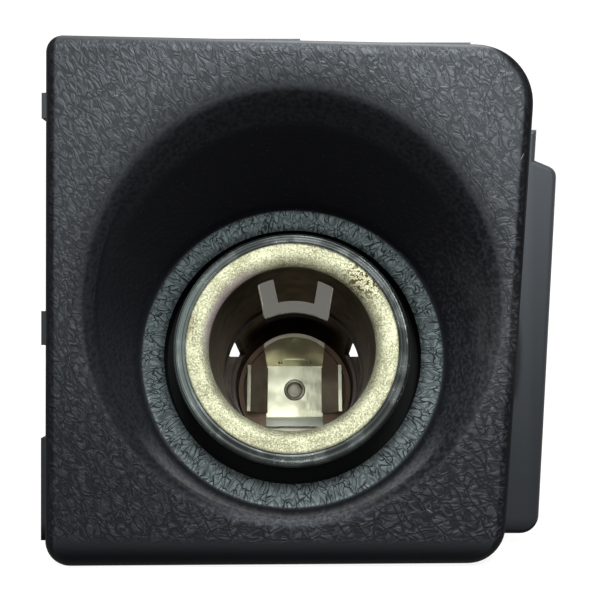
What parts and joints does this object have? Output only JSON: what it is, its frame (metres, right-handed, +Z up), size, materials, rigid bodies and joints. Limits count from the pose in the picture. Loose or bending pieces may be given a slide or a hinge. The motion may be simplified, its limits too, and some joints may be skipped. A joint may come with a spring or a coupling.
{
  "type": "car power socket in a trim panel",
  "caption": "Tilted car power socket: a steel barrel with a rolled rim, contact clip and blade terminals, in a plastic sleeve set in a scooped dash trim panel.",
  "frame": {"origin": "centre of the socket's bore at its mouth, where the straight wall starts", "axes": "+X to the right seen from the front, -Y out of the panel's face, +Z up; the bore leans 15 degrees up from -Y"},
  "size_m": [0.0668, 0.0641, 0.0661],
  "materials": {
    "panel_plastic": "leather grain, dark grey",
    "sleeve_plastic": "smooth, scratched, black",
    "plated_steel": "nickel plated, speckled rim",
    "clip_steel": "plated spring steel",
    "terminal_brass": "plain brass",
    "phenolic_board": "brown laminate",
    "connector_plastic": "moulded, black"
  },
  "bodies": {
    "root": {"trim_panel": "panel_plastic", "socket_sleeve": "sleeve_plastic", "socket_barrel": "plated_steel", "contact_clip": "clip_steel", "contact_rivet": "clip_steel", "inner_insulator": "phenolic_board", "rear_insulator": "phenolic_board", "rivet_washer": "clip_steel", "positive_terminal": "terminal_brass", "ground_terminal": "terminal_brass", "connector_shroud": "connector_plastic", "trim_clip_upper_left": "clip_steel", "trim_clip_upper_right": "clip_steel", "trim_clip_lower_left": "clip_steel", "trim_clip_lower_right": "clip_steel"}
  },
  "joints": []
}
